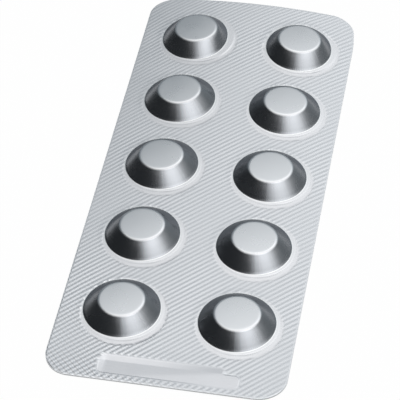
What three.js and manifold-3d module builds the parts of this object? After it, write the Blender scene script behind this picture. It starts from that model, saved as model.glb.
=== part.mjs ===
// Sealed blister strip of ten round tablets: an aluminium laminate sheet with two columns of
// truncated-cone pockets, heat-sealed to a lidding foil.
//
// The strip lies on its lidding foil. X runs across it, Y along it from the end with the blank
// code strip to the plain end, and Z up through the pockets. The origin is under its middle.
// Units are millimetres.

import * as THREE from 'three';
import { mergeGeometries, mergeVertices } from 'three/addons/utils/BufferGeometryUtils.js';
import { TessellateModifier } from 'three/addons/modifiers/TessellateModifier.js';
import Module from 'manifold-3d';

const wasm = await Module();
wasm.setup();

// the punched card
const cardWidth = 42;
const cardLength = 102;
const cornerRadius = 5;
const webThickness = 0.28; // both foils and their lacquer, at the bottom of the seal pattern

// the card lies flat at its code end and arches up across its width towards the plain end
const archRise = 1.6;
const flatEnd = 8; // length of the part that stays flat

// the pockets
const columns = 2;
const rows = 5;
const columnPitch = 20.4;
const firstRow = 16.4; // from the code end to the first row's centres
const lastRow = 12; // from the last row's centres to the plain end
const punchShift = 0.3; // the pockets sit this far off the card's centre line
const footRadius = 6.8;
const crownRadius = 4.15; // to the corner between wall and crown
const pocketHeight = 2.45; // above the web
const crownRounding = 0.9;
const footRounding = 0.35;

// the smooth land round each foot, left bare by the sealing plate, which sits a little off the pockets
const landWidth = 0.95; // beyond the foot
const plateShiftX = 0.4;
const plateShiftY = -0.8;

// the seal pattern's ridges, which run from the code end's left to the plain end's right
const ridgePitch = 0.868;
const ridgeHeight = 0.08;
const ridgeTurn = Math.PI / 4;
const grooveFloor = 0.2; // flat between two ridges
const edgeLand = 0.1; // the ridges stop this far inside the punched edge

// the blank code strip, a smooth recess with a shallower ledge on its pocket side
const codeLeft = -11.4;
const codeRight = 13.1;
const codeMargin = 1.4; // from the code end
const codeWidth = 3.05;
const codeSink = 0.08;
const ledgeRight = 10.3;
const ledgeWidth = 1.35;
const ledgeSink = 0.04;
const codeRounding = 1;
const codeBevel = 0.25;

// how finely curves and the arch are divided
const pocketSides = 30;
const landSides = 24;
const arcSteps = 8;
const roundingSteps = 2;
const longestEdge = 16;
const weldDistance = 1e-5;

const overlap = 0.06; // how deep a joined form reaches into the web

const nearEnd = -cardLength / 2;
const farEnd = cardLength / 2;
const rowPitch = (cardLength - firstRow - lastRow) / (rows - 1);
const landRadius = footRadius + landWidth;

// an indexed mesh with positions only, its shared corners merged and its empty triangles left out
function welded(geometry) {
  const plain = geometry.clone();
  plain.deleteAttribute('normal');
  plain.deleteAttribute('uv');
  const merged = mergeVertices(plain, weldDistance);
  const corners = merged.index.array;
  const kept = [];
  for (let i = 0; i < corners.length; i += 3) {
    const [a, b, c] = [corners[i], corners[i + 1], corners[i + 2]];
    if (a !== b && b !== c && c !== a) kept.push(a, b, c);
  }
  merged.setIndex(kept);
  return merged;
}

function toSolid(geometry) {
  const mesh = welded(geometry);
  return new wasm.Manifold(new wasm.Mesh({
    numProp: 3,
    vertProperties: new Float32Array(mesh.attributes.position.array),
    triVerts: new Uint32Array(mesh.index.array),
  }));
}

function toGeometry(solid) {
  const mesh = solid.getMesh();
  const geometry = new THREE.BufferGeometry();
  geometry.setAttribute('position', new THREE.BufferAttribute(mesh.vertProperties, mesh.numProp));
  geometry.setIndex(new THREE.BufferAttribute(mesh.triVerts, 1));
  return geometry;
}

// a rectangle with round corners, drawn into a shape or a path
function roundedRectangle(path, left, right, low, high, radius) {
  const quarter = Math.PI / 2;
  path.moveTo(left + radius, low);
  path.lineTo(right - radius, low);
  path.absarc(right - radius, low + radius, radius, -quarter, 0);
  path.lineTo(right, high - radius);
  path.absarc(right - radius, high - radius, radius, 0, quarter);
  path.lineTo(left + radius, high);
  path.absarc(left + radius, high - radius, radius, quarter, 2 * quarter);
  path.lineTo(left, low + radius);
  path.absarc(left + radius, low + radius, radius, 2 * quarter, 3 * quarter);
  return path;
}

function cardOutline(inset) {
  const side = cardWidth / 2 - inset;
  const radius = cornerRadius - inset;
  return roundedRectangle(new THREE.Shape(), -side, side, nearEnd + inset, farEnd - inset, radius);
}

function slab(shape, low, high) {
  const geometry = new THREE.ExtrudeGeometry(shape, {
    depth: high - low,
    bevelEnabled: false,
    curveSegments: arcSteps,
  });
  return geometry.translate(0, 0, low);
}

function pocketCentres() {
  const centres = [];
  for (let column = 0; column < columns; column += 1) {
    for (let row = 0; row < rows; row += 1) {
      const x = punchShift + (column - (columns - 1) / 2) * columnPitch;
      centres.push(new THREE.Vector2(x, nearEnd + firstRow + row * rowPitch));
    }
  }
  return centres;
}

// points on the arc that rounds the corner between two straight stretches of a profile
function roundedCorner(before, corner, after, radius) {
  const toBefore = before.clone().sub(corner).normalize();
  const toAfter = after.clone().sub(corner).normalize();
  const halfAngle = Math.acos(toBefore.dot(toAfter)) / 2;
  const reach = radius / Math.tan(halfAngle);
  const inward = toBefore.clone().add(toAfter).normalize();
  const centre = corner.clone().addScaledVector(inward, radius / Math.sin(halfAngle));
  const start = corner.clone().addScaledVector(toBefore, reach).sub(centre);
  const turn = start.angle() - corner.clone().addScaledVector(toAfter, reach).sub(centre).angle();
  const sweep = Math.atan2(Math.sin(turn), Math.cos(turn));
  const points = [];
  for (let i = 0; i <= roundingSteps; i += 1) {
    const step = start.clone().rotateAround(new THREE.Vector2(), -sweep * i / roundingSteps);
    points.push(step.add(centre));
  }
  return points;
}

// one pocket, a truncated cone with a rounded crown edge and foot, standing in the web
function pocket(centre) {
  const top = webThickness + pocketHeight;
  const root = webThickness - overlap;
  const axisTop = new THREE.Vector2(0, top);
  const crownCorner = new THREE.Vector2(crownRadius, top);
  const footCorner = new THREE.Vector2(footRadius, webThickness);
  const rim = new THREE.Vector2(landRadius, webThickness);
  const profile = [
    new THREE.Vector2(0, root),
    new THREE.Vector2(footRadius + footRounding, root),
    ...roundedCorner(rim, footCorner, crownCorner, footRounding),
    ...roundedCorner(footCorner, crownCorner, axisTop, crownRounding),
    axisTop,
  ];
  const geometry = new THREE.LatheGeometry(profile, pocketSides);
  geometry.rotateX(Math.PI / 2);
  return geometry.translate(centre.x, centre.y, 0);
}

// all ridges at full length, before they are trimmed to the sealed area
function ridges() {
  const reach = (cardWidth + cardLength) / 2;
  const count = Math.ceil(reach / ridgePitch);
  const halfFoot = (ridgePitch - grooveFloor) / 2;
  const sink = ridgeHeight / 5; // below the web's surface, where neighbours still stay apart
  const halfRoot = halfFoot * (ridgeHeight + sink) / ridgeHeight;
  const section = new THREE.Shape([
    new THREE.Vector2(-halfRoot, -sink),
    new THREE.Vector2(halfRoot, -sink),
    new THREE.Vector2(0, ridgeHeight),
  ]);
  const length = 2 * reach;
  const bars = [];
  for (let i = -count; i <= count; i += 1) {
    const bar = new THREE.ExtrudeGeometry(section, { depth: length, bevelEnabled: false });
    bar.rotateX(Math.PI / 2);
    bar.translate(i * ridgePitch, length / 2, webThickness);
    bar.rotateZ(-ridgeTurn);
    bars.push(bar);
  }
  return mergeGeometries(bars);
}

// the sealed area that carries ridges: the card less the lands round the pockets and the code strip
function sealedArea() {
  const top = webThickness + 2 * ridgeHeight;
  let area = toSolid(slab(cardOutline(edgeLand), 0, top));
  for (const centre of pocketCentres()) {
    const land = new THREE.CylinderGeometry(landRadius, landRadius, 3 * top, landSides);
    land.rotateX(Math.PI / 2).translate(centre.x + plateShiftX, centre.y + plateShiftY, top);
    area = area.subtract(toSolid(land));
  }
  return codeCuts().reduce((rest, cut) => rest.subtract(cut), area);
}

// a tool that sinks a smooth area into the web, with a sloping edge, and clears the ridges over it
function codeCut(right, low, high, sink) {
  const shape = new THREE.Shape();
  const radius = codeRounding - codeBevel;
  roundedRectangle(shape, codeLeft + codeBevel, right - codeBevel, low + codeBevel, high - codeBevel, radius);
  const geometry = new THREE.ExtrudeGeometry(shape, {
    depth: 3 * ridgeHeight,
    bevelThickness: sink,
    bevelSize: codeBevel,
    bevelSegments: 1,
    curveSegments: arcSteps / 2,
  });
  return toSolid(geometry.translate(0, 0, webThickness));
}

// the ledge's tool reaches into the strip's own
function codeCuts() {
  const low = nearEnd + codeMargin;
  const high = low + codeWidth;
  return [
    codeCut(codeRight, low, high, codeSink),
    codeCut(ledgeRight, low + codeWidth / 3, high + ledgeWidth, ledgeSink),
  ];
}

// height of the arched sheet's underside over the table
function archAt(x, y) {
  const along = THREE.MathUtils.clamp((y - nearEnd - flatEnd) / (cardLength - flatEnd), 0, 1);
  const across = x / (cardWidth / 2);
  return archRise * along * (1 - across * across);
}

// carries a flat form onto the arched sheet, with its heights set square to the sheet
function bendOntoArch(geometry) {
  const divided = new TessellateModifier(longestEdge, 24).modify(geometry);
  const position = divided.attributes.position;
  const point = new THREE.Vector3();
  const step = 0.01;
  for (let i = 0; i < position.count; i += 1) {
    point.fromBufferAttribute(position, i);
    const base = archAt(point.x, point.y);
    const slopeX = (archAt(point.x + step, point.y) - archAt(point.x - step, point.y)) / (2 * step);
    const slopeY = point.y > nearEnd + flatEnd ? (archAt(point.x, point.y + step) - base) / step : 0;
    const lift = new THREE.Vector3(-slopeX, -slopeY, 1).setLength(point.z);
    point.setZ(base).add(lift);
    position.setXYZ(i, point.x, point.y, point.z);
  }
  return welded(divided);
}

function blisterStrip() {
  let solid = toSolid(slab(cardOutline(0), 0, webThickness));
  solid = solid.add(toSolid(ridges()).intersect(sealedArea()));
  for (const cut of codeCuts()) solid = solid.subtract(cut);
  for (const centre of pocketCentres()) solid = solid.add(toSolid(pocket(centre)));
  const geometry = bendOntoArch(toGeometry(solid));
  geometry.computeVertexNormals();
  return geometry;
}

const foil = new THREE.MeshStandardMaterial({ color: 0xc9ccd1, roughness: 0.35, metalness: 0.9 });

const blisterPack = new THREE.Mesh(blisterStrip(), foil);
blisterPack.name = 'blister_pack';

const pack = new THREE.Group();
pack.add(blisterPack);

export default pack;
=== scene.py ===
import math

import bpy
import numpy as np
from mathutils import Matrix, Vector
from mathutils.geometry import delaunay_2d_cdt


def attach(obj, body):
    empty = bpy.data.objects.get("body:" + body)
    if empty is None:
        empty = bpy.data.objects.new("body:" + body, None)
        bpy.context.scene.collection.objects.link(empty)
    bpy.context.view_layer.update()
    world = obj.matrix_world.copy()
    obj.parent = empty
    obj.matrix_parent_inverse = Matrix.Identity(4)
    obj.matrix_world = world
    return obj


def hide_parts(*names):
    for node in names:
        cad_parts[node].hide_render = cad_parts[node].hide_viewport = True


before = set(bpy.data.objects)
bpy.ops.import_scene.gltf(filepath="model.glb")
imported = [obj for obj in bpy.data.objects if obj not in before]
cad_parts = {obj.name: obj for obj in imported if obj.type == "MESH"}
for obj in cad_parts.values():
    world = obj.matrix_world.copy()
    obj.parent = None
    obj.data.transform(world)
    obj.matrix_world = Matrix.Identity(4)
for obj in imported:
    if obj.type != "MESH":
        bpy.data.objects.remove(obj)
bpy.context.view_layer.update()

mm = 0.001
probe = 0.01   # how far apart two points lie that give a slope, in mm


# helpers on numpy arrays, all in mm

def smooth(value, low, high):
    t = np.clip((value - low) / (high - low), 0.0, 1.0)
    return t * t * (3.0 - 2.0 * t)


def unit(vectors):
    return vectors / np.linalg.norm(vectors, axis=1, keepdims=True)


# distance inside (positive) a rectangle with round corners
def insideRounded(x, y, left, right, low, high, radius):
    centreX, centreY = (left + right) / 2, (low + high) / 2
    qx = np.abs(x - centreX) - ((right - left) / 2 - radius)
    qy = np.abs(y - centreY) - ((high - low) / 2 - radius)
    outside = np.hypot(np.maximum(qx, 0.0), np.maximum(qy, 0.0))
    return radius - outside - np.minimum(np.maximum(qx, qy), 0.0)


# points along a rectangle with round corners
def roundedLoop(left, right, low, high, radius, step):
    corners = [   # each arc's centre, and its start as a multiple of pi
        (right - radius, low + radius, -0.5), (right - radius, high - radius, 0.0),
        (left + radius, high - radius, 0.5), (left + radius, low + radius, 1.0),
    ]
    arcSteps = max(4, round(radius * math.pi / 2 / step))
    points = []
    for i, (cx, cy, start) in enumerate(corners):
        arc = [
            (cx + radius * math.cos(math.pi * (start + 0.5 * k / arcSteps)),
             cy + radius * math.sin(math.pi * (start + 0.5 * k / arcSteps)))
            for k in range(arcSteps + 1)
        ]
        points += arc
        nx, ny, nextStart = corners[(i + 1) % 4]
        fromX, fromY = arc[-1]
        toX, toY = nx + radius * math.cos(math.pi * nextStart), ny + radius * math.sin(math.pi * nextStart)
        count = max(1, round(math.dist((fromX, fromY), (toX, toY)) / step))
        points += [
            (fromX + (toX - fromX) * k / count, fromY + (toY - fromY) * k / count)
            for k in range(1, count)
        ]
    return points


# points on a circle, turned by a share of the step between two of them
def ringPoints(centre, radius, count, turn):
    return [(centre[0] + radius * math.cos(2 * math.pi * (k + turn) / count),
             centre[1] + radius * math.sin(2 * math.pi * (k + turn) / count)) for k in range(count)]


# points on the arc that rounds the corner between two straight stretches of a profile
def roundedCorner(before, corner, after, radius, steps):
    before, corner, after = Vector(before), Vector(corner), Vector(after)
    toBefore, toAfter = (before - corner).normalized(), (after - corner).normalized()
    half = math.acos(toBefore.dot(toAfter)) / 2
    centre = corner + (toBefore + toAfter).normalized() * (radius / math.sin(half))
    start = corner + toBefore * (radius / math.tan(half)) - centre
    end = corner + toAfter * (radius / math.tan(half)) - centre
    turn = start.angle_signed(end)
    return [tuple(centre + Matrix.Rotation(-turn * i / steps, 2) @ start) for i in range(steps + 1)]


# the punched card and its arch, in mm, sized as in the CAD
card = {
    "width": 42.0,
    "length": 102.0,
    "cornerRadius": 5.0,
    "web": 0.28,          # both foils at the bottom of the seal pattern
    "lidThickness": 0.06,
    "archRise": 1.6,
    "flatEnd": 8.0,       # the card stays flat over this length at its near end
    "rimDrop": 0.006,     # the punch draws the edge down by this much
    "rimWidth": 0.15,
}

# the punch cuts a little off true: by how much, and how far in the sheet moves with it, in mm
trim = {
    "left": 0.2, "leftReach": 3.5,
    "right": 0.09, "rightReach": 2.5,
    "far": 0.37, "farReach": 4.0,
    "corner": 0.6, "cornerReach": 7.0,
    "cornerAlong": (10.0, 2.0),   # the far right corner's part begins and is full at these distances
}

# how finely the foils are meshed, in mm
meshing = {
    "edgeStep": 0.45,                 # along the punched edge
    "edgeLoops": (0.0, 0.15, 0.32),   # insets of the loops of points that follow it
    "crownRings": 8,                  # rings on the flat of a crown, and the step between them
    "crownStep": 0.4,
    "crownSteps": 7,                  # steps round the crown's edge, down the wall and round the foot
    "wallSteps": 6,
    "footSteps": 5,
    "landRings": (6.97, 7.08, 7.2, 7.32, 7.44, 7.56, 7.85, 8.2),
    "wholeRings": 7.0,                # rings up to here run right round, the others stay on the land
    "landGap": 0.08,                  # they keep this far from the land's border
    "borderFrom": 7.05,               # the border's own rings stay outside this radius
    "sides": 120,                     # points on a ring
    "codeLoopStep": 0.35,
    "codeStep": (0.4, 0.2),
    "codeReach": 0.3,                 # the code strip's points go this far beyond it
    "codeGap": 0.2,                   # and keep this far from the loops on its sloping border
    "acrossSteps": 4,                 # points to a pitch across the ridges
    "alongSteps": 2,                  # and along them, with twice as many where they are crossed
    "crossedFrom": 0.02,              # the share of the near left corner's crossing that counts
    "crossedEnd": 3.0,                # and the length at the near end that always does
    "sealInset": 0.42,                # the seal's points keep this far from the punched edge
    "sealFrom": 7.1,                  # and outside this radius round a pocket
    "flatStep": 1.5,                  # between points on the faces without relief
    "flatInset": 0.5,
    "sameWithin": 1e-5,               # points nearer than this become one
}

nearEnd = -card["length"] / 2
farEnd = -nearEnd


def insideCard(x, y):
    half = card["width"] / 2
    return insideRounded(x, y, -half, half, nearEnd, farEnd, card["cornerRadius"])


def cardLoop(inset):
    half = card["width"] / 2 - inset
    return roundedLoop(-half, half, nearEnd + inset, farEnd - inset, card["cornerRadius"] - inset,
                       meshing["edgeStep"])


def arch(x, y):
    along = np.clip((y - nearEnd - card["flatEnd"]) / (card["length"] - card["flatEnd"]), 0.0, 1.0)
    return card["archRise"] * along * np.clip(1.0 - (x / (card["width"] / 2)) ** 2, 0.0, 1.0)


# moves points near the card's left, right and far edges to where the punch cut
def trimmed(x, y):
    half = card["width"] / 2
    x = (x + trim["left"] * smooth(-x, half - trim["leftReach"], half)
         + trim["right"] * smooth(x, half - trim["rightReach"], half))
    begins, full = trim["cornerAlong"]
    x = (x - trim["corner"] * smooth(x, half - trim["cornerReach"], half)
         * smooth(y, farEnd - begins, farEnd - full))
    return x, y - trim["far"] * smooth(y, farEnd - trim["farReach"], farEnd)


# moves flat points onto the arched card, heights square to it
def ontoArch(x, y, z):
    slopeX = (arch(x + probe, y) - arch(x - probe, y)) / (2 * probe)
    slopeY = np.where(y > nearEnd + card["flatEnd"], (arch(x, y + probe) - arch(x, y)) / probe, 0.0)
    size = np.sqrt(slopeX ** 2 + slopeY ** 2 + 1.0)
    return x - z * slopeX / size, y - z * slopeY / size, arch(x, y) + z / size


# the ten pockets
pockets = {
    "columns": 2,
    "rows": 5,
    "columnPitch": 20.4,
    "rowPitch": 18.4,
    "firstRow": 16.4,
    "punchShift": 0.3,
    "footRadius": 6.8,
    "crownRadius": 4.05,
    "height": 2.60,
    "crownRounding": 1.0,
    "footRounding": 0.2,
    "crownDome": 0.05,    # how far the crown falls from its middle to its edge
    "domeInset": 0.4,     # and how far inside the crown's corner it has done so
    "wallBulge": 0.09,    # the wall stands out by this much halfway down
    "bank": 0.038,        # the land stands this much higher at the foot than at its border
    "bankFrom": 5.5,      # this comes in on the wall from here, and is gone at bankReach
    "bankReach": 8.2,
    "reach": 9.0,         # the pocket's section ends here
    "crease": 7.2,        # a fine groove on the land, round a centre a little off the pocket's
    "creaseShift": (0.32, -0.12),
    "creaseDepth": 0.02,
    "creaseWidth": 0.2,
    "creaseRise": (6.95, 7.15),   # it comes in between these radii
    # pockets of the last row are narrower at the foot, by this much at their right and left sides
    "narrowed": {4: (0.75, 0.05), 9: (0.35, 0.45)},
    "narrowFrom": 4.5,    # and the form between these two radii is squeezed or stretched to suit
    "narrowTo": 7.7,
}


def pocketCentres():
    for column in range(pockets["columns"]):
        for row in range(pockets["rows"]):
            yield (pockets["punchShift"] + (column - (pockets["columns"] - 1) / 2) * pockets["columnPitch"],
                   nearEnd + pockets["firstRow"] + row * pockets["rowPitch"])


# the foot's distance from the centre, by the cosine of the direction
def footDistance(number, cosine):
    right, left = pockets["narrowed"].get(number, (0.0, 0.0))
    return pockets["footRadius"] - np.where(cosine > 0.0, right, left) * cosine ** 2


# the radius that a point of a narrowed pocket has on an even one
def evenRadius(number, awayX, awayY):
    r = np.hypot(awayX, awayY)
    inner, even, outer = pockets["narrowFrom"], pockets["footRadius"], pockets["narrowTo"]
    foot = footDistance(number, awayX / np.maximum(r, inner))
    onWall = inner + (r - inner) * (even - inner) / (foot - inner)
    onLand = outer - (outer - r) * (outer - even) / (outer - foot)
    return np.where((r <= inner) | (r >= outer), r, np.where(r <= foot, onWall, onLand))


# a point of an even pocket moved to where a narrowed one has it
def narrowedPoint(number, centre, point):
    awayX, awayY = point[0] - centre[0], point[1] - centre[1]
    r = math.hypot(awayX, awayY)
    inner, even, outer = pockets["narrowFrom"], pockets["footRadius"], pockets["narrowTo"]
    if number not in pockets["narrowed"] or not inner < r < outer:
        return point
    foot = float(footDistance(number, awayX / r))
    onWall = inner + (r - inner) * (foot - inner) / (even - inner)
    onLand = outer - (outer - r) * (outer - foot) / (outer - even)
    moved = (onWall if r <= even else onLand) / r
    return centre[0] + awayX * moved, centre[1] + awayY * moved


# the pocket's section, from the crown's middle out to the land
def pocketSection():
    height, foot, crown, reach = (pockets[key] for key in ("height", "footRadius", "crownRadius", "reach"))
    section = [(0.0, height)]
    section += roundedCorner((0.0, height), (crown, height), (foot, 0.0),
                             pockets["crownRounding"], meshing["crownSteps"])
    section += roundedCorner((crown, height), (foot, 0.0), (reach, 0.0),
                             pockets["footRounding"], meshing["footSteps"])
    section.append((reach, 0.0))
    return np.array(section)


section = pocketSection()
# the straight part of the wall runs between these two radii
wallTop, wallFoot = section[meshing["crownSteps"] + 1:meshing["crownSteps"] + 3, 0]


def pocketHeight(r):
    foot, reach = pockets["footRadius"], pockets["bankReach"]
    flat = np.interp(r, section[:, 0], section[:, 1])
    fall = np.clip(r / (pockets["crownRadius"] - pockets["domeInset"]), 0.0, 1.0) ** 2
    dome = pockets["crownDome"] * fall * np.clip(flat / pockets["height"], 0.0, 1.0)
    down = np.clip((r - wallTop) / (wallFoot - wallTop), 0.0, 1.0)
    bulge = pockets["wallBulge"] * 4.0 * down * (1.0 - down)
    bank = np.clip((reach - r) / (reach - foot), 0.0, 1.0) * smooth(r, pockets["bankFrom"], foot)
    return flat - dome + bulge + pockets["bank"] * bank


# the pockets and the grooves round them
def pocketForms(x, y):
    height = np.zeros_like(x)
    shiftX, shiftY = pockets["creaseShift"]
    for number, (centreX, centreY) in enumerate(pocketCentres()):
        awayX, awayY = x - centreX, y - centreY
        r = evenRadius(number, awayX, awayY)
        near = r < pockets["reach"]
        height[near] += pocketHeight(r[near])
        off = np.abs(np.hypot(awayX - shiftX, awayY - shiftY) - pockets["crease"])
        groove = 1.0 - smooth(off, 0.0, pockets["creaseWidth"])
        height -= pockets["creaseDepth"] * groove * smooth(r, *pockets["creaseRise"])
    return height


# the blank code strip, a smooth recess with a ledge on its pocket side
code = {
    "left": -11.4,
    "right": 13.1,
    "margin": 1.4,        # from the card's near edge
    "width": 3.05,
    "rounding": 1.0,
    "bevel": 0.22,
    "sink": 0.07,         # at the near edge's left, and nothing at its right
    "sinkFade": (-2.0, 9.0),
    "rise": 0.025,        # the floor's slope up to a fold that runs from near left to far right
    "fall": 0.030,        # and its slope down beyond it
    "foldLeft": -6.5,     # where the fold leaves the near border
    "foldSlope": 0.185,
    "foldWidth": 0.3,
    "ledgeRight": 10.3,
    "ledgeStart": 1.0,    # the ledge's outline begins this far inside the strip
    "ledgeWidth": 1.35,
    "ledgeSink": 0.02,
    "endShare": 0.3,      # the left end has this share of the full depth
    "endReach": 1.3,      # which is reached this far from it
}

codeLow = nearEnd + code["margin"]
codeHigh = codeLow + code["width"]


# distances inside the strip and its ledge
def codeDistances(x, y):
    plate = insideRounded(x, y, code["left"], code["right"], codeLow, codeHigh, code["rounding"])
    ledge = insideRounded(x, y, code["left"], code["ledgeRight"], codeLow + code["ledgeStart"],
                          codeHigh + code["ledgeWidth"], code["rounding"])
    return plate, ledge


def codeForm(x, y):
    foldAt = np.clip(codeLow + (x - code["foldLeft"]) * code["foldSlope"], codeLow, codeHigh)
    sink = code["sink"] * (1.0 - smooth(x, *code["sinkFade"]))
    plateY = np.clip(y, codeLow, codeHigh)
    beyond = plateY - foldAt
    beyond = 0.5 * (beyond + np.hypot(beyond, code["foldWidth"]))   # the fold is soft
    floor = -sink + code["rise"] * (plateY - codeLow) - (code["rise"] + code["fall"]) * beyond
    up = np.clip((y - codeHigh) / code["ledgeWidth"], 0.0, 1.0)
    floor = floor + (-code["ledgeSink"] - floor) * up
    border = smooth(np.maximum(*codeDistances(x, y)), 0.0, code["bevel"])
    farther = smooth(x, code["left"], code["left"] + code["endReach"])
    return floor * border * (code["endShare"] + (1.0 - code["endShare"]) * farther)


# the smooth land round each foot, left bare by the sealing plate, which sits a little off the pockets
land = {
    "radius": 7.6,
    "shift": (0.56, -0.86),
    "step": 0.006,        # the sealed area's mean height over the land
    "stepWidth": 0.12,
}

# the seal's ridges, which run from near left to far right, and others across them
seal = {
    "pitch": 0.868,
    "ridge": 0.024,               # the ridges' height
    "ridgeCorner": 0.022,         # what they gain towards the near left corner
    "cross": 0.004,               # height of the ridges across them
    "crossCorner": 0.055,         # what those gain towards the near left corner
    "crossBorder": 0.032,         # and along the near edge
    "cornerReach": (34.0, 8.0),   # the gain begins and is full at these distances from the corner
    "cornerAlong": 0.8,           # distances along the card count by this much
    "borderReach": (7.0, 1.0),    # and the one along the near edge at these
    "waver": 0.3,                 # the share by which the ridges' height comes and goes over the card
    "waverTurns": (0.33, 0.19),   # radians to a mm across and along the card
    "waverStart": (1.1, 0.6),     # radians at the card's middle
    "fade": 0.22,                 # the pattern dies out over this distance
    "lap": 0.05,                  # and begins this far inside a land's border
    "edgeFade": 0.2,
    "footFade": (6.95, 7.2),      # it never starts nearer to a pocket than this
}


def landDistance(x, y, centre):
    return np.hypot(x - centre[0] - land["shift"][0], y - centre[1] - land["shift"][1])


# how near a point is to the near left corner, where the ridges across are about as strong as the others
def towardsCorner(x, y):
    begins, full = seal["cornerReach"]
    away = np.hypot(x + card["width"] / 2, (y - nearEnd) * seal["cornerAlong"])
    return smooth(-away, -begins, -full)


def sealPattern(x, y):
    ridge = 0.5 + 0.5 * np.cos(2 * math.pi * (x - y) / math.sqrt(2) / seal["pitch"])
    cross = 0.5 + 0.5 * np.cos(2 * math.pi * (x + y) / math.sqrt(2) / seal["pitch"])
    corner = towardsCorner(x, y)
    begins, full = seal["borderReach"]
    crossHeight = (seal["cross"] + seal["crossCorner"] * corner
                   + seal["crossBorder"] * smooth(nearEnd - y, -begins, -full))
    (turnX, turnY), (startX, startY) = seal["waverTurns"], seal["waverStart"]
    waver = 1.0 + seal["waver"] * np.sin(turnX * x + startX) * np.sin(turnY * y + startY)
    return waver * (seal["ridge"] + seal["ridgeCorner"] * corner) * ridge + crossHeight * cross


# the share of the pattern that a point has: none on lands and pockets, the code strip and the edge
def sealShare(x, y):
    share = smooth(insideCard(x, y), 0.0, seal["edgeFade"])
    begins = land["radius"] - seal["lap"]
    for number, centre in enumerate(pocketCentres()):
        r = evenRadius(number, x - centre[0], y - centre[1])
        away = landDistance(x, y, centre)
        share = share * smooth(away, begins, begins + seal["fade"]) * smooth(r, *seal["footFade"])
    return share * smooth(-np.maximum(*codeDistances(x, y)), 0.0, seal["fade"])


# the step from the lands up to the sealed area
def sealStep(x, y):
    lift = np.full_like(x, land["step"])
    for centre in pocketCentres():
        away = landDistance(x, y, centre)
        lift = lift * smooth(away, land["radius"], land["radius"] + land["stepWidth"])
    return lift


# the height of the formed foil's top face over the flat card's underside
def topHeight(x, y):
    rim = card["rimDrop"] * (1.0 - smooth(insideCard(x, y), 0.0, card["rimWidth"]))
    forms = pocketForms(x, y) + codeForm(x, y) + sealStep(x, y) + sealPattern(x, y) * sealShare(x, y)
    return card["web"] + forms - rim


# directions square to the formed foil's top face
def topNormals(xy):
    x, y = xy[:, 0], xy[:, 1]
    slopes = []
    for stepX, stepY in ((probe, 0.0), (0.0, probe)):
        ahead, behind = (x + stepX, y + stepY), (x - stepX, y - stepY)
        rise = (topHeight(*ahead) - topHeight(*behind)) / (2 * probe)
        slopes.append(rise + (arch(*ahead) - arch(*behind)) / (2 * probe))
    return unit(np.column_stack([-slopes[0], -slopes[1], np.ones_like(x)]))


# rings of points on the pockets and their lands
def pocketPoints():
    crownFlat = meshing["crownStep"] * meshing["crownRings"]
    radii = [meshing["crownStep"] * (k + 1) for k in range(meshing["crownRings"])]
    radii += [r for r in section[:, 0] if crownFlat < r < pockets["reach"]]
    wallSteps = meshing["wallSteps"]
    radii += [wallTop + (wallFoot - wallTop) * k / wallSteps for k in range(1, wallSteps)]
    radii += meshing["landRings"]
    points = []
    for number, centre in enumerate(pocketCentres()):
        points.append(centre)
        for i, r in enumerate(sorted(radii)):
            # a crown's rings have six points more each time
            count = meshing["sides"] if r > crownFlat else round(6 * r / meshing["crownStep"])
            ring = ringPoints(centre, r, count, 0.5 * (i % 2))
            points += [
                narrowedPoint(number, centre, p) for p in ring
                if r < meshing["wholeRings"] or landDistance(*p, centre) < land["radius"] - meshing["landGap"]
            ]
        middle = (centre[0] + land["shift"][0], centre[1] + land["shift"][1])
        for i, fade in enumerate((0.0, land["stepWidth"], seal["fade"])):
            ring = ringPoints(middle, land["radius"] + fade, meshing["sides"], 0.5 * (i % 2))
            points += [p for p in ring if math.dist(p, centre) > meshing["borderFrom"]]
    return points


# loops of points on the code strip's sloping border
def codeLoops():
    return [
        roundedLoop(code["left"] + inset, code["right"] - inset, codeLow + inset, codeHigh - inset,
                    code["rounding"] - inset, meshing["codeLoopStep"])
        for inset in (0.0, code["bevel"] / 2, code["bevel"])
    ]


def codePoints():
    stepX, stepY = meshing["codeStep"]
    x, y = np.meshgrid(np.arange(code["left"] + stepX, code["right"], stepX),
                       np.arange(codeLow + 2 * stepY, codeHigh + code["ledgeWidth"] + stepY, stepY))
    plate, ledge = codeDistances(x, y)
    keep = np.maximum(plate, ledge) > -meshing["codeReach"]
    keep &= np.abs(plate - code["bevel"] / 2) > meshing["codeGap"]
    return list(zip(x[keep].tolist(), y[keep].tolist()))


# a lattice of points that follows the seal's ridges
def sealPoints():
    reach = (card["width"] + card["length"]) / 2
    acrossStep = seal["pitch"] / meshing["acrossSteps"]
    alongStep = seal["pitch"] / meshing["alongSteps"] / 2
    acrossCount, alongCount = math.ceil(reach / acrossStep), math.ceil(reach / alongStep)
    a, b = np.meshgrid(np.arange(-acrossCount, acrossCount + 1), np.arange(-alongCount, alongCount + 1))
    x = (a * acrossStep + b * alongStep) / math.sqrt(2)
    y = (b * alongStep - a * acrossStep) / math.sqrt(2)
    crossed = (towardsCorner(x, y) > meshing["crossedFrom"]) | (y < nearEnd + meshing["crossedEnd"])
    fine = (b % 2 == 0) | crossed
    x, y = x[fine], y[fine]
    keep = insideCard(x, y) > meshing["sealInset"]
    for centre in pocketCentres():
        keep &= landDistance(x, y, centre) > land["radius"] + seal["fade"] + meshing["landGap"]
        keep &= np.hypot(x - centre[0], y - centre[1]) > meshing["sealFrom"]
    keep &= np.maximum(*codeDistances(x, y)) < -meshing["codeReach"]
    return list(zip(x[keep].tolist(), y[keep].tolist()))


def topPoints():
    loops = [cardLoop(inset) for inset in meshing["edgeLoops"]] + codeLoops()
    return loops, pocketPoints() + codePoints() + sealPoints()


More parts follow.
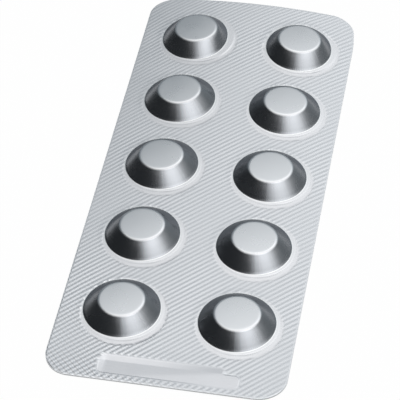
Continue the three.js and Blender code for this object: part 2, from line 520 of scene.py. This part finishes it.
# points of the faces without relief: the lidding foil's, and the formed foil's underside
def flatPoints():
    inset, step = meshing["flatInset"], meshing["flatStep"]
    half = card["width"] / 2 - inset
    x, y = np.meshgrid(np.arange(-half, half, step), np.arange(nearEnd + inset, farEnd, step))
    keep = insideCard(x, y) > inset
    return [cardLoop(0.0)], list(zip(x[keep].tolist(), y[keep].tolist()))


def triangulate(loops, loose):
    points, edges = [], []
    for loop in loops:
        first = len(points)
        points += loop
        edges += [(first + k, first + (k + 1) % len(loop)) for k in range(len(loop))]
    points += loose
    corners = [Vector(p) for p in points]
    flat, _, triangles, *_ = delaunay_2d_cdt(corners, edges, [], 0, meshing["sameWithin"], False)
    return np.array([tuple(p) for p in flat]), [tuple(t) for t in triangles]


def turnsLeft(xy, t):
    a, b, c = xy[t[0]], xy[t[1]], xy[t[2]]
    return (b[0] - a[0]) * (c[1] - a[1]) - (b[1] - a[1]) * (c[0] - a[0]) > 0


def nearest(xy, point):
    return int(np.argmin((xy[:, 0] - point[0]) ** 2 + (xy[:, 1] - point[1]) ** 2))


# faces that join the outlines of a top face and an underside
def cutFaces(topXy, underXy):
    outline = cardLoop(0.0)
    topRim = [nearest(topXy, p) for p in outline]
    underRim = [len(topXy) + nearest(underXy, p) for p in outline]
    following = [(k + 1) % len(outline) for k in range(len(outline))]
    return [(topRim[k], underRim[k], underRim[n], topRim[n]) for k, n in enumerate(following)]


# a closed body between a top face and an underside that share the card's outline
def sheetBody(name, top, under, normals):
    (topXy, topTriangles, topZ), (underXy, underTriangles, underZ) = top, under
    allXy = np.vstack([topXy, underXy])
    allZ = np.concatenate([topZ, underZ])
    x, y, z = ontoArch(*trimmed(allXy[:, 0], allXy[:, 1]), allZ)
    faces = [t if turnsLeft(topXy, t) else t[::-1] for t in topTriangles]
    shift = len(topXy)
    faces += [tuple(shift + i for i in (t[::-1] if turnsLeft(underXy, t) else t)) for t in underTriangles]
    cutFrom = len(faces)
    faces += cutFaces(topXy, underXy)
    mesh = bpy.data.meshes.new(name)
    mesh.from_pydata(np.column_stack([x, y, z]) * mm, [], faces)
    for polygon in mesh.polygons:
        polygon.use_smooth = polygon.index < cutFrom
        polygon.material_index = 0 if polygon.index < cutFrom else 1   # the punched edge has its own finish
    mesh.update()
    # the top face's corners take the surface's own directions, all others their face's
    atCorner = np.array([tuple(polygon.normal) for polygon in mesh.polygons])
    atCorner = np.repeat(atCorner, [len(face) for face in faces], axis=0)
    atCorner[:3 * len(topTriangles)] = normals[np.array(faces[:len(topTriangles)]).ravel()]
    mesh.normals_split_custom_set(atCorner.tolist())
    piece = bpy.data.objects.new(name, mesh)
    bpy.context.scene.collection.objects.link(piece)
    return piece


topXy, topTriangles = triangulate(*topPoints())
flatXy, flatTriangles = triangulate(*flatPoints())
lidTop = (flatXy, flatTriangles, np.full(len(flatXy), card["lidThickness"]))
lidUnder = (flatXy, flatTriangles, np.zeros(len(flatXy)))
formedTop = (topXy, topTriangles, topHeight(topXy[:, 0], topXy[:, 1]))
formedFoil = sheetBody("formed_foil", formedTop, lidTop, topNormals(topXy))
lidFoil = sheetBody("lid_foil", lidTop, lidUnder, np.tile([0.0, 0.0, 1.0], (len(flatXy), 1)))
print("formed foil", len(topTriangles), "triangles on top,", len(flatTriangles), "below")

# where one finish of the foil gives way to the next: radii on a pocket, and distances at the code strip
finishes = {
    "crownToWall": (3.9, 4.3),
    "wallToFoot": (6.78, 6.88),
    "footToLand": (6.94, 7.04),
    "intoCode": (-0.1, 0.2),
    "codeEnd": (0.5, 1.4),     # from the strip's left end
    # the share of the feet's white, a painted highlight, that is mixed into the strip's left end
    "codeEndHighlight": 0.6,
    "spin": (0.5, 7.5),        # the streaks run between these radii
    "spinApart": 3.0,          # and differ from one pocket to the next
}


# how much of the crown, wall, foot, land and code strip each point of the foil belongs to
def foilZones(x, y):
    zones = {name: np.zeros_like(x) for name in ("crown", "wall", "foot", "land")}
    for number, centre in enumerate(pocketCentres()):
        r = evenRadius(number, x - centre[0], y - centre[1])
        pastCrown, pastWall = smooth(r, *finishes["crownToWall"]), smooth(r, *finishes["wallToFoot"])
        pastFoot = smooth(r, *finishes["footToLand"])
        pastLand = smooth(landDistance(x, y, centre), land["radius"], land["radius"] + seal["fade"])
        zones["crown"] += 1.0 - pastCrown
        zones["wall"] += pastCrown * (1.0 - pastWall)
        zones["foot"] += pastWall * (1.0 - pastFoot)
        zones["land"] += pastFoot * (1.0 - pastLand)
    zones["code"] = smooth(np.maximum(*codeDistances(x, y)), *finishes["intoCode"])
    # the strip's left end is drawn down over a longer slope, and there the feet's white is mixed in as a
    # painted highlight
    atEnd = 1.0 - smooth(x - code["left"], *finishes["codeEnd"])
    zones["foot"] += finishes["codeEndHighlight"] * zones["code"] * atEnd
    return zones


# which way each point of a pocket lies from its middle, and a third number that is the pocket's own
def foilSpin(x, y):
    spin = np.zeros((len(x), 3))
    low, high = finishes["spin"]
    for number, centre in enumerate(pocketCentres()):
        away = np.column_stack([x - centre[0], y - centre[1]])
        r = evenRadius(number, away[:, 0], away[:, 1])
        near = (r > low) & (r < high)
        spin[near, :2] = unit(away[near])
        spin[near, 2] = number * finishes["spinApart"]
    return spin


# stores values at a mesh's first points, and zeros at the others
def storeAtPoints(mesh, name, kind, field, values):
    layer = mesh.attributes.new(name, kind, "POINT")
    full = np.zeros((len(mesh.vertices), *values.shape[1:]), dtype=np.float32)
    full[:len(values)] = values
    layer.data.foreach_set(field, full.ravel())


zones = foilZones(topXy[:, 0], topXy[:, 1])
for zone, values in zones.items():
    storeAtPoints(formedFoil.data, zone, "FLOAT", "value", values)
storeAtPoints(formedFoil.data, "spin", "FLOAT_VECTOR", "vector", foilSpin(topXy[:, 0], topXy[:, 1]))

for piece in (formedFoil, lidFoil):
    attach(piece, "root")


# a node's output, which adds Math nodes when it is used in an expression
class Socket:
    def __init__(self, nodes, socket):
        self.nodes, self.socket = nodes, socket

    def math(self, operation, first, second):
        return self.nodes.add("ShaderNodeMath", {"operation": operation}, [first, second])

    def __add__(self, other):
        return self.math("ADD", self, other)

    def __radd__(self, other):
        return self.math("ADD", other, self)

    def __mul__(self, other):
        return self.math("MULTIPLY", self, other)

    def __rmul__(self, other):
        return self.math("MULTIPLY", other, self)

    def __sub__(self, other):
        return self.math("SUBTRACT", self, other)

    def __rsub__(self, other):
        return self.math("SUBTRACT", other, self)


class Nodes:
    def __init__(self, tree):
        self.tree = tree

    def add(self, kind, settings=None, inputs=None, output=0):
        node = self.tree.nodes.new(kind)
        for key, value in (settings or {}).items():
            setattr(node, key, value)
        pairs = enumerate(inputs) if isinstance(inputs, list) else (inputs or {}).items()
        for key, value in pairs:
            if isinstance(value, Socket):
                self.tree.links.new(value.socket, node.inputs[key])
            else:
                node.inputs[key].default_value = value
        return Socket(self, node.outputs[output])

    def attribute(self, name, output="Fac"):
        return self.add("ShaderNodeAttribute", {"attribute_name": name}, output=output)

    def mixColour(self, factor, first, second):
        return self.add("ShaderNodeMix", {"data_type": "RGBA"}, {0: factor, 6: first, 7: second}, output=2)


def newMaterial(name):
    material = bpy.data.materials.new(name)
    material.use_nodes = True
    tree = material.node_tree
    tree.nodes.clear()
    return material, Nodes(tree), tree.nodes.new("ShaderNodeOutputMaterial")


# the foil's colours and finishes, matt on the seal and glossier where it is drawn up over the tablets, with
# painted shade on the walls and a painted highlight on the feet
laminate = {
    "plain": (0.80, 0.81, 0.83, 1.0),
    "land": (0.905, 0.90, 0.915, 1.0),
    # the feet's pure white is a painted highlight, brightening the line that their fillet reflects
    "foot": (1.0, 1.0, 1.0, 1.0),
    "code": (0.82, 0.82, 0.84, 1.0),
    # the walls' dark grey is painted shade: it darkens their reflections to stand in for dark surroundings
    "wall": (0.30, 0.31, 0.325, 1.0),
    "crown": (0.755, 0.765, 0.78, 1.0),
    "grazing": (0.50, 0.51, 0.53, 1.0),
    "roughness": 0.50,        # on the seal
    "wallRoughness": 0.26,
    "crownRoughness": 0.29,
    "landRoughness": 0.42,    # on the feet and the code strip too
    "cloudScale": 220.0,      # faint clouds in the roughness
    "cloudRoughness": 0.16,
    "grainScale": 6000.0,     # a fine grain all over, and streaks down the walls
    "grain": 0.25,
    "streakScale": 9.0,
    "reliefStrength": 0.5,
    "reliefDepth": 0.00003,   # in metres
}


def laminateMaterial():
    material, nodes, output = newMaterial("aluminium_laminate")
    position = nodes.add("ShaderNodeTexCoord", output="Object")
    crown, wall, foot, land, code = (nodes.attribute(zone) for zone in zones)
    cloud = nodes.add("ShaderNodeTexNoise", None,
                      {"Vector": position, "Scale": laminate["cloudScale"], "Detail": 3.0})
    grain = nodes.add("ShaderNodeTexNoise", None,
                      {"Vector": position, "Scale": laminate["grainScale"], "Detail": 2.0})
    colour = nodes.mixColour(crown, laminate["plain"], laminate["crown"])
    # painted shade: the walls' dark grey
    colour = nodes.mixColour(wall, colour, laminate["wall"])
    colour = nodes.mixColour(land, colour, laminate["land"])
    # painted highlight: the feet's white, also on the code strip's left end
    colour = nodes.mixColour(foot, colour, laminate["foot"])
    colour = nodes.mixColour(code, colour, laminate["code"])
    plain = laminate["roughness"]
    roughness = (plain + crown * (laminate["crownRoughness"] - plain)
                 + wall * (laminate["wallRoughness"] - plain)
                 + (land + foot + code) * (laminate["landRoughness"] - plain))
    roughness = roughness + (cloud - 0.5) * laminate["cloudRoughness"]
    around = nodes.attribute("spin", "Vector")
    streaks = nodes.add("ShaderNodeTexNoise", None,
                        {"Vector": around, "Scale": laminate["streakScale"], "Detail": 4.0})
    relief = grain * laminate["grain"] + streaks * wall
    bump = nodes.add("ShaderNodeBump", None, {"Strength": laminate["reliefStrength"],
                                              "Distance": laminate["reliefDepth"], "Height": relief})
    shader = nodes.add("ShaderNodeBsdfPrincipled", None,
                       {"Base Color": colour, "Metallic": 1.0, "Roughness": roughness, "Normal": bump,
                        "Specular Tint": laminate["grazing"]})
    material.node_tree.links.new(shader.socket, output.inputs["Surface"])
    return material


# the laminate's cut edge, aluminium between layers of film and lacquer
punchedEdge = {
    "colour": (0.44, 0.45, 0.46, 1.0),
    "roughness": 0.35,
    "grainScale": 3000.0,
    "grainRoughness": 0.2,
}


def edgeMaterial():
    material, nodes, output = newMaterial("punched_edge")
    position = nodes.add("ShaderNodeTexCoord", output="Object")
    grain = nodes.add("ShaderNodeTexNoise", None, {"Vector": position, "Scale": punchedEdge["grainScale"]})
    roughness = punchedEdge["roughness"] + (grain - 0.5) * punchedEdge["grainRoughness"]
    shader = nodes.add("ShaderNodeBsdfPrincipled", None,
                       {"Base Color": punchedEdge["colour"], "Metallic": 1.0, "Roughness": roughness})
    material.node_tree.links.new(shader.socket, output.inputs["Surface"])
    return material


foilMaterial, cutMaterial = laminateMaterial(), edgeMaterial()
for piece in (formedFoil, lidFoil):
    piece.data.materials.append(foilMaterial)
    piece.data.materials.append(cutMaterial)
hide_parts("blister_pack")
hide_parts("blister_pack")
print("materials done")

# a plain pale floor, white to the camera and in reflections
stage = {"floorSize": 4.0, "floorColour": (0.9, 0.9, 0.9, 1.0), "floorWhite": 0.97}


def buildFloor():
    half = stage["floorSize"] / 2
    mesh = bpy.data.meshes.new("floor")
    corners = [(-half, -half, 0), (half, -half, 0), (half, half, 0), (-half, half, 0)]
    mesh.from_pydata(corners, [], [(0, 1, 2, 3)])
    floor = bpy.data.objects.new("floor", mesh)
    bpy.context.scene.collection.objects.link(floor)
    material, nodes, output = newMaterial("pale_floor")
    isCamera = nodes.add("ShaderNodeLightPath", output="Is Camera Ray")
    isGlossy = nodes.add("ShaderNodeLightPath", output="Is Glossy Ray")
    isTransmission = nodes.add("ShaderNodeLightPath", output="Is Transmission Ray")
    seen = (isCamera + isGlossy + isTransmission) * stage["floorWhite"]
    paint = nodes.add("ShaderNodeBsdfDiffuse", None, {"Color": stage["floorColour"]})
    white = nodes.add("ShaderNodeEmission", None, {"Color": (1.0, 1.0, 1.0, 1.0), "Strength": 1.0})
    mixed = nodes.add("ShaderNodeMixShader", None, [seen, paint, white])
    material.node_tree.links.new(mixed.socket, output.inputs["Surface"])
    mesh.materials.append(material)


# the studio's soft light: broad glows overhead, beyond the far end, over the near right and low on the
# right, each growing from its edge to its full strength by the cosine of the angle to its middle
sky = {
    "low": (0.044, 0.048, 0.052),
    "glows": [
        {"toward": (0.25, 0.12, 0.96), "edge": 0.58, "full": 0.96, "colour": (1.20, 1.19, 1.18)},
        {"toward": (-0.10, 0.90, 0.42), "edge": 0.50, "full": 0.90, "colour": (0.20, 0.23, 0.25)},
        {"toward": (0.55, -0.40, 0.73), "edge": 0.76, "full": 1.00, "colour": (1.70, 1.72, 1.74)},
        {"toward": (0.75, 0.62, 0.25), "edge": 0.60, "full": 0.95, "colour": (0.25, 0.27, 0.28)},
    ],
}


def buildWorld():
    world = bpy.data.worlds.new("studio")
    bpy.context.scene.world = world
    world.use_nodes = True
    world.node_tree.nodes.clear()
    nodes = Nodes(world.node_tree)
    output = world.node_tree.nodes.new("ShaderNodeOutputWorld")
    direction = nodes.add("ShaderNodeTexCoord", output="Generated")
    light = sky["low"]
    for glow in sky["glows"]:
        along = nodes.add("ShaderNodeVectorMath", {"operation": "DOT_PRODUCT"}, [direction, glow["toward"]],
                          output="Value")
        share = nodes.add("ShaderNodeMapRange", {"interpolation_type": "SMOOTHSTEP"},
                          {"Value": along, "From Min": glow["edge"], "From Max": glow["full"]})
        part = nodes.add("ShaderNodeVectorMath", {"operation": "SCALE"},
                         {"Vector": glow["colour"], "Scale": share})
        light = nodes.add("ShaderNodeVectorMath", {"operation": "ADD"}, [part, light])
    background = nodes.add("ShaderNodeBackground", None, {"Color": light, "Strength": 1.0})
    world.node_tree.links.new(background.socket, output.inputs["Surface"])


# a soft panel of light: its direction from the pack in degrees, size and distance in metres, power in watts
frontPanel = {"azimuth": -36.0, "elevation": 47.0, "distance": 1.2, "size": 0.5, "power": 0.15}


def buildPanel():
    azimuth, elevation = math.radians(frontPanel["azimuth"]), math.radians(frontPanel["elevation"])
    toward = Vector((math.cos(elevation) * math.cos(azimuth), math.cos(elevation) * math.sin(azimuth),
                     math.sin(elevation)))
    lamp = bpy.data.lights.new("front_right_panel", "AREA")
    lamp.shape = "SQUARE"
    lamp.size = frontPanel["size"]
    lamp.energy = frontPanel["power"]
    holder = bpy.data.objects.new("front_right_panel", lamp)
    holder.location = toward * frontPanel["distance"]
    holder.rotation_euler = toward.to_track_quat("Z", "Y").to_euler()
    bpy.context.scene.collection.objects.link(holder)


# the photo's camera, found by a fit to its pockets and straight edges
view = {
    "place": (49.784, -272.913, 265.76),   # mm
    "right": (0.98409, 0.17735, -0.01066),
    "up": (-0.11635, 0.68859, 0.71575),
    "forward": (-0.13428, 0.70312, -0.69827),
    "lens": 185.96,
    "sensor": 36.0,
}


def buildCamera():
    camera = bpy.data.cameras.new("camera")
    camera.lens = view["lens"]
    camera.sensor_width = view["sensor"]
    camera.clip_start, camera.clip_end = 0.01, 20.0
    holder = bpy.data.objects.new("camera", camera)
    right, up, back = Vector(view["right"]), Vector(view["up"]), -Vector(view["forward"])
    turn = Matrix((right, up, back)).transposed().to_4x4()
    holder.matrix_world = Matrix.Translation(Vector(view["place"]) * mm) @ turn
    bpy.context.scene.collection.objects.link(holder)
    bpy.context.scene.camera = holder


buildFloor()
buildWorld()
buildPanel()
buildCamera()
bpy.context.scene.view_settings.view_transform = "Standard"
print("stage done")
